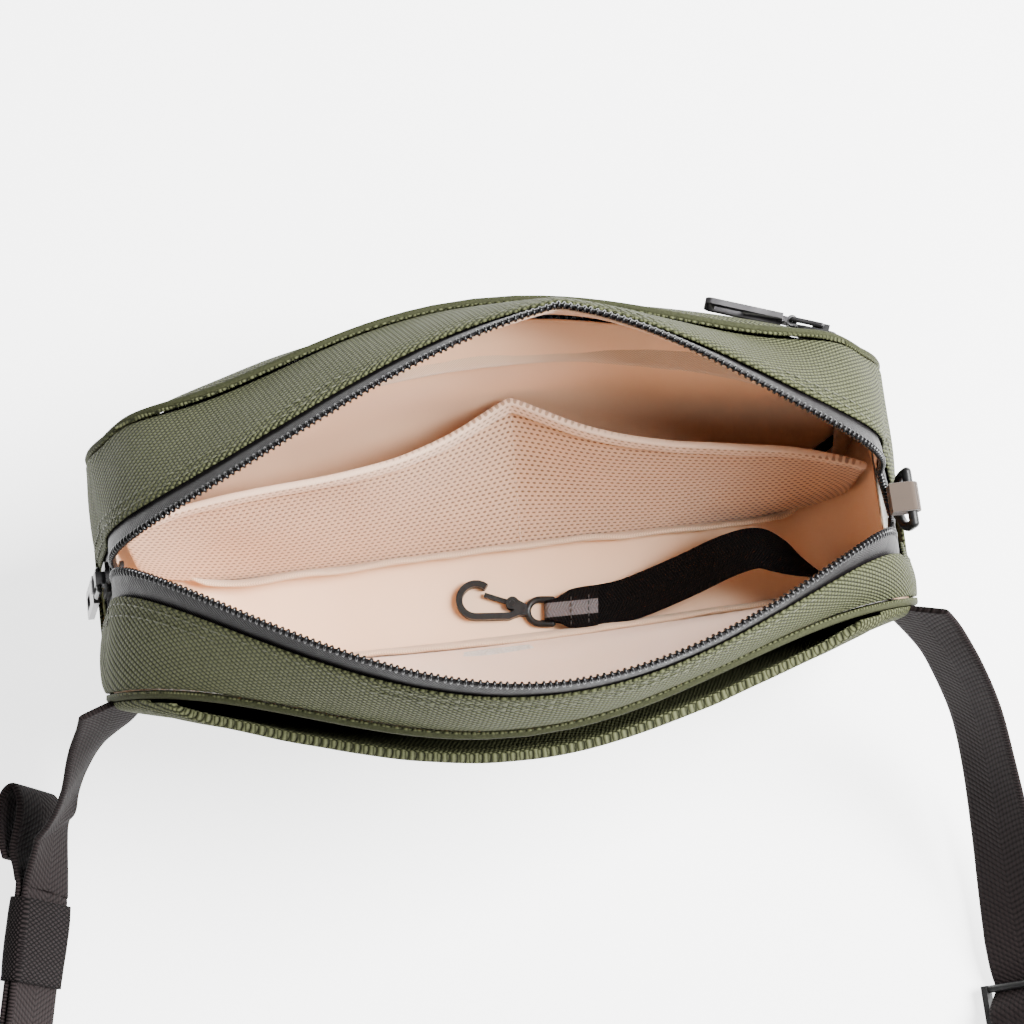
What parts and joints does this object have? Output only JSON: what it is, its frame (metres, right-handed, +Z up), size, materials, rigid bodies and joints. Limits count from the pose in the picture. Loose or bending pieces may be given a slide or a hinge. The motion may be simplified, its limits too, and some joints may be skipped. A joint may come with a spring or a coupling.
{
  "type": "sling bag",
  "caption": "Zip-top sling bag standing open, with front zip pocket, back slip pocket, mesh pockets, key leash and an adjustable buckled shoulder strap.",
  "frame": {"origin": "centre of the floor's underside, on the surface the bag stands on", "axes": "+X to the right along the bag's length, +Y towards the front pocket's face, +Z up; the strap lies on the -Y side"},
  "size_m": [0.3506, 0.367, 0.1465],
  "materials": {
    "green_cloth": "woven ballistic cloth",
    "foam": "open-cell foam",
    "peach_lining": "satin lining",
    "divider_cloth": "plain lining",
    "tape": "coated zip tape",
    "teeth": "moulded",
    "slider_metal": "satin black",
    "pull_metal": "dark plated",
    "binding_tape": "grosgrain",
    "mesh": "knitted mesh",
    "mesh_hem": "ribbed elastic",
    "tab_tape": "grosgrain",
    "black_plastic": "moulded",
    "black_webbing": "woven webbing",
    "strap_webbing": "ribbed webbing",
    "keeper_elastic": "woven elastic"
  },
  "bodies": {
    "bag": {"bottom_gusset": "green_cloth", "base_foam": "foam", "lining_base": "peach_lining", "back_panel": "green_cloth", "back_foam": "foam", "lining_back": "peach_lining", "slip_pocket": "green_cloth", "slip_pocket_hem": "green_cloth", "front_panel_lower": "green_cloth", "front_panel_upper": "green_cloth", "front_pocket_lining": "divider_cloth", "lining_front": "peach_lining", "front_zip_tape": "tape", "front_zip_teeth": "teeth", "top_gusset_front": "green_cloth", "top_gusset_back": "green_cloth", "top_lining_front": "peach_lining", "top_lining_back": "peach_lining", "main_zip_tape_front": "tape", "main_zip_tape_back": "tape", "main_zip_teeth_front": "teeth", "main_zip_teeth_back": "teeth", "binding_front": "binding_tape", "binding_back": "binding_tape", "mesh_pocket": "mesh", "mesh_pocket_trim": "mesh_hem", "d_ring_tab": "tab_tape", "key_leash": "black_webbing", "strap_left": "strap_webbing", "strap_right": "strap_webbing", "strap_adjuster": "black_plastic", "buckle_male": "black_plastic", "buckle_female": "black_plastic"},
    "main_slider": {"main_slider": "slider_metal"},
    "main_bail": {"main_bail": "slider_metal"},
    "main_pull": {"main_pull": "pull_metal"},
    "front_slider": {"front_slider": "slider_metal"},
    "front_bail": {"front_bail": "slider_metal"},
    "front_pull": {"front_pull": "pull_metal"},
    "d_ring": {"d_ring": "black_plastic"},
    "key_hook": {"key_hook": "black_plastic"},
    "hook_gate": {"hook_gate": "black_plastic"},
    "strap_keeper": {"strap_keeper": "keeper_elastic"},
    "buckle_arm_left": {"buckle_arm_left": "black_plastic"},
    "buckle_arm_right": {"buckle_arm_right": "black_plastic"}
  },
  "joints": [
    {"name": "main_slider_travel", "type": "slide", "parent": "bag", "child": "main_slider", "axis": [-0.2162, 0, -0.9764], "range_m": [0, 0.01]},
    {"name": "main_bail_swing", "type": "hinge", "parent": "main_slider", "child": "main_bail", "pos_m": [-0.12108, 0, 0.08276], "axis": [0, 1, 0], "range_deg": [0, 110]},
    {"name": "main_pull_swing", "type": "hinge", "parent": "main_bail", "child": "main_pull", "pos_m": [-0.12302, 0, 0.07397], "axis": [0, 1, 0], "range_deg": [0, 75]},
    {"name": "front_slider_travel", "type": "hinge", "parent": "bag", "child": "front_slider", "pos_m": [0, -0.23544, 0.088], "axis": [0, 0, 1], "range_deg": [0, 36]},
    {"name": "front_bail_swing", "type": "hinge", "parent": "front_slider", "child": "front_bail", "pos_m": [0.10432, 0.05016, 0.088], "axis": [0, 0, -1], "range_deg": [0, 110]},
    {"name": "front_pull_swing", "type": "hinge", "parent": "front_bail", "child": "front_pull", "pos_m": [0.09585, 0.05322, 0.088], "axis": [0, 0, -1], "range_deg": [0, 75]},
    {"name": "d_ring_swing", "type": "hinge", "parent": "bag", "child": "d_ring", "pos_m": [0.1244, -0.004, 0.081], "axis": [0, -1, 0], "range_deg": [0, 140]},
    {"name": "key_hook_swing", "type": "hinge", "parent": "bag", "child": "key_hook", "pos_m": [0.01557, -0.01049, 0.0076], "axis": [0.1219, 0.9925, 0], "range_deg": [0, 110]},
    {"name": "hook_gate_press", "type": "hinge", "parent": "key_hook", "child": "hook_gate", "pos_m": [0.00298, -0.00632, 0.0076], "axis": [0, 0, 1], "range_deg": [0, 22], "stiffness_Nm_per_rad": 0.02},
    {"name": "keeper_slide", "type": "slide", "parent": "bag", "child": "strap_keeper", "axis": [-0.2, -0.9798, 0], "range_m": [0, 0.03]},
    {"name": "buckle_arm_left_press", "type": "hinge", "parent": "bag", "child": "buckle_arm_left", "pos_m": [-0.17067, -0.17317, 0.00838], "axis": [0.8951, -0.1827, 0.4067], "range_deg": [0, 11], "stiffness_Nm_per_rad": 0.05},
    {"name": "buckle_arm_right_press", "type": "hinge", "parent": "bag", "child": "buckle_arm_right", "pos_m": [-0.17752, -0.17177, 0.0241], "axis": [-0.8951, 0.1827, -0.4067], "range_deg": [0, 11], "stiffness_Nm_per_rad": 0.05}
  ]
}
